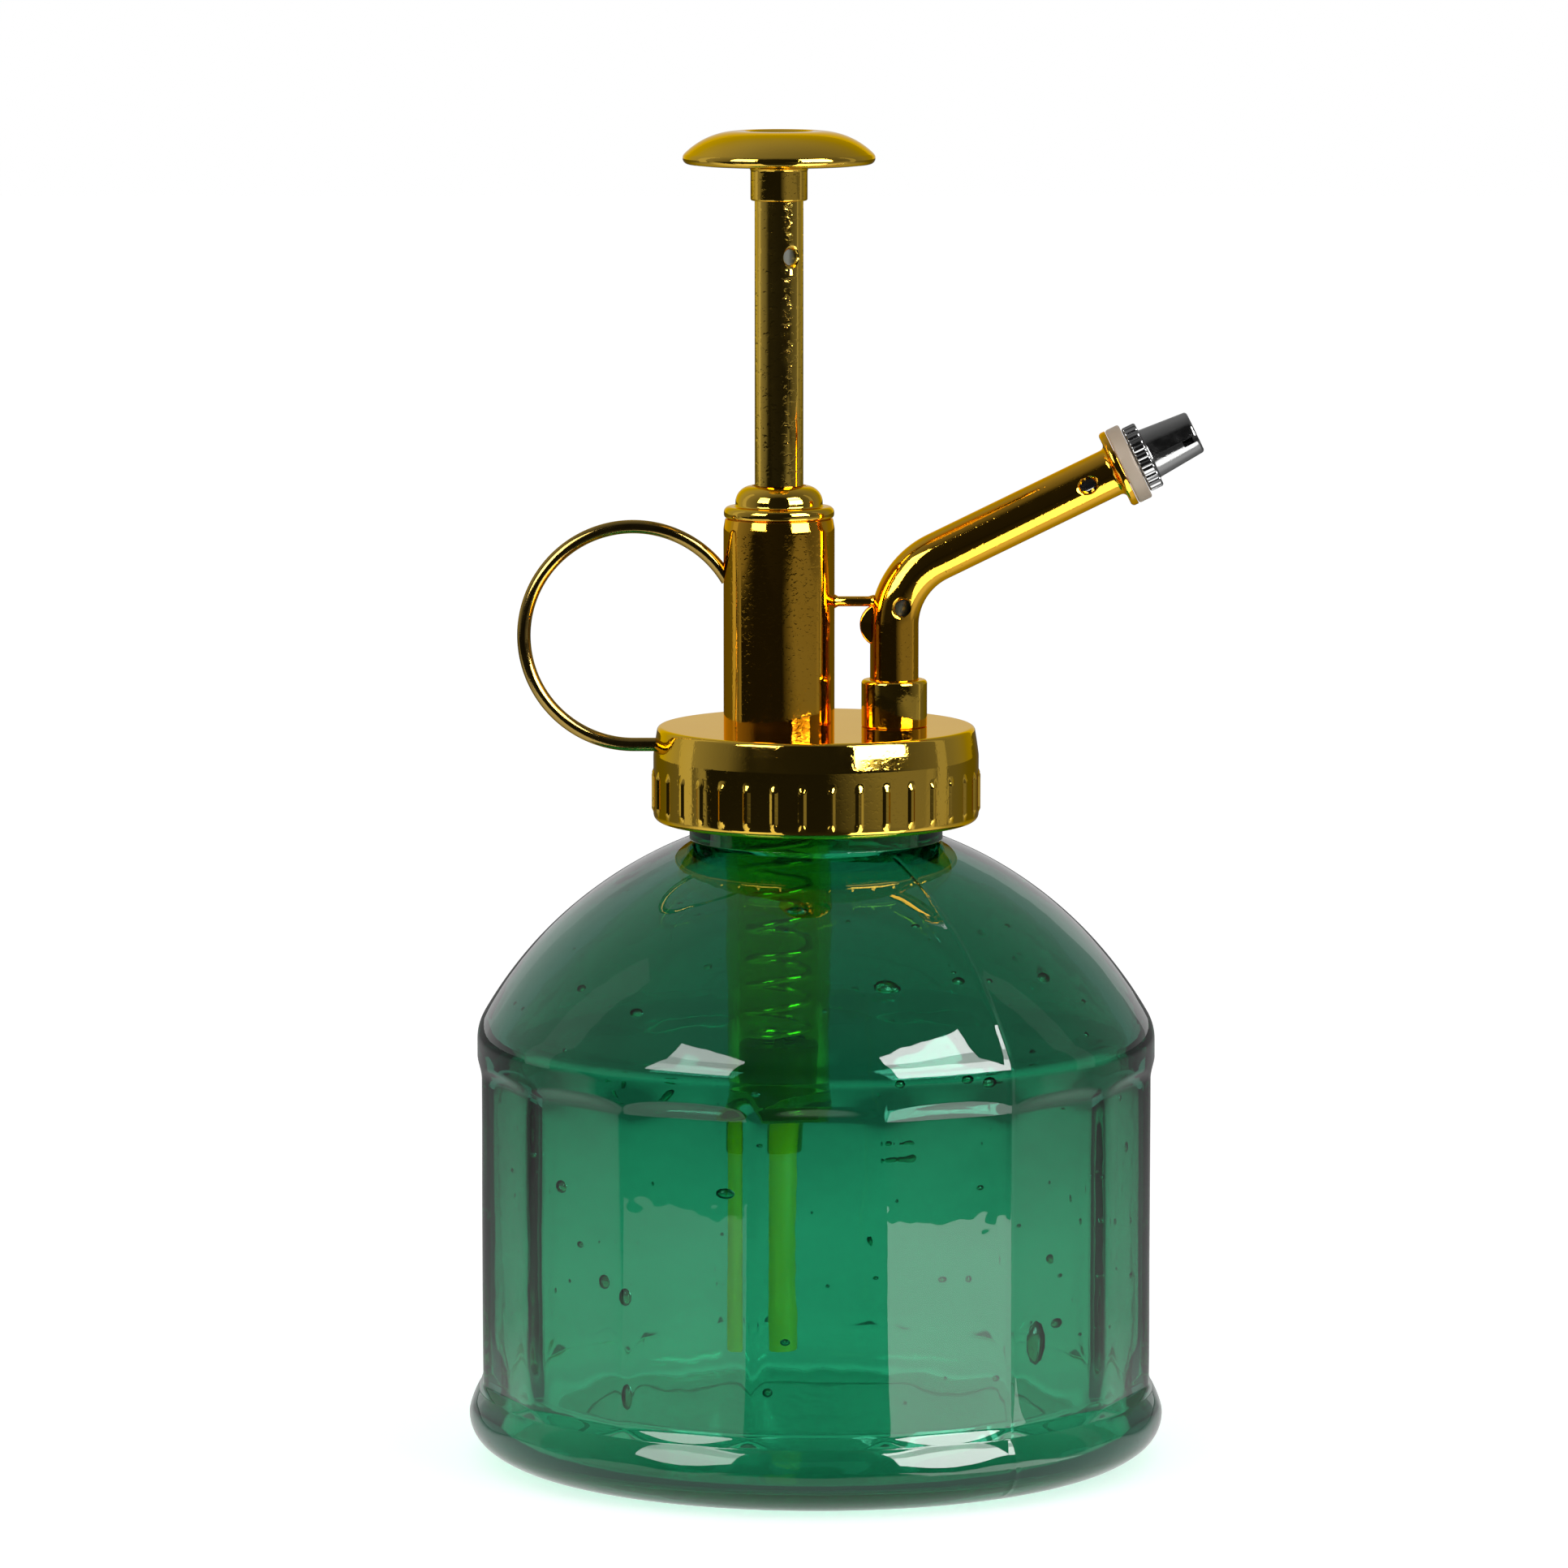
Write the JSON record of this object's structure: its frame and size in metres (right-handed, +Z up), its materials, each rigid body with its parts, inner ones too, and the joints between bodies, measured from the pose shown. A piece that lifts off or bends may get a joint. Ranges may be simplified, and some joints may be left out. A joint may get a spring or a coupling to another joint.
{
  "type": "hand mister",
  "caption": "Domed green glass bottle with flat panels, a ribbed gold cap, a finger ring, a bent spout with a nozzle and a plunger that is pressed to spray a fine mist.",
  "frame": {"origin": "on the bottle's axis, in the plane of the ring that the bottle stands on", "axes": "+Z up along the bottle's axis, +X towards the spout, -X towards the finger ring"},
  "size_m": [0.0896, 0.085, 0.1616],
  "materials": {
    "green_glass": "transparent emerald pressed glass, slightly wavy, with seeds and bubbles",
    "gold_plate": "vacuum-plated gold over moulded plastic, mirror bright",
    "gold_wire": "gold-plated wire, bright",
    "nozzle_chrome": "bright plating, slightly satin",
    "washer_tan": "matte natural plastic",
    "clear_plastic": "translucent natural polypropylene",
    "white_plastic": "moulded white plastic",
    "spring_steel": "bright stainless spring wire",
    "valve_steel": "polished stainless balls",
    "seal_rubber": "black rubber"
  },
  "bodies": {
    "bottle": {"bottle": "green_glass"},
    "gasket": {"neck_gasket": "seal_rubber"},
    "head": {"screw_cap": "gold_plate", "pump_barrel": "clear_plastic", "pump_sleeve": "gold_plate", "gland_cap": "gold_plate", "gland_bush": "white_plastic", "gland_seal": "seal_rubber", "valve_cage": "white_plastic", "dip_tube": "clear_plastic", "return_spring": "spring_steel", "finger_ring": "gold_wire", "spout_socket": "gold_plate", "spout_tube": "gold_plate", "spout_stay": "gold_wire", "delivery_tube": "white_plastic", "nozzle_nipple": "white_plastic", "swirl_insert": "white_plastic", "nozzle_washer": "washer_tan"},
    "plunger": {"piston": "white_plastic", "piston_seal": "seal_rubber", "piston_rod": "white_plastic", "plunger_tube": "gold_plate", "plunger_knob": "gold_plate"},
    "nozzle": {"nozzle": "nozzle_chrome"},
    "inlet_valve": {"inlet_ball": "valve_steel"},
    "outlet_valve": {"outlet_ball": "valve_steel"}
  },
  "joints": [
    {"name": "head_lift", "type": "slide", "parent": "bottle", "child": "gasket", "axis": [0, 0, 1], "range_m": [0, 0.005]},
    {"name": "head_turn", "type": "hinge", "parent": "gasket", "child": "head", "pos_m": [0, 0, 0.084], "axis": [0, 0, 1], "range_deg": [0, 450]},
    {"name": "plunger_press", "type": "slide", "parent": "head", "child": "plunger", "axis": [0, 0, -1], "range_m": [0, 0.0339], "stiffness_N_per_m": 250, "springref_m": -0.012, "deforming": ["return_spring"]},
    {"name": "nozzle_turn", "type": "hinge", "parent": "head", "child": "nozzle", "pos_m": [0.04006, 0, 0.12247], "axis": [0.8988, 0, 0.4384], "range_deg": [0, 360]},
    {"name": "inlet_ball_lift", "type": "slide", "parent": "head", "child": "inlet_valve", "axis": [0, 0, 1], "range_m": [0, 0.001]},
    {"name": "outlet_ball_lift", "type": "slide", "parent": "plunger", "child": "outlet_valve", "axis": [0, 0, 1], "range_m": [0, 0.001]}
  ],
  "couplings": [
    {"joint": "head_turn", "follows": "head_lift", "rad_per_m": 1570.8}
  ]
}
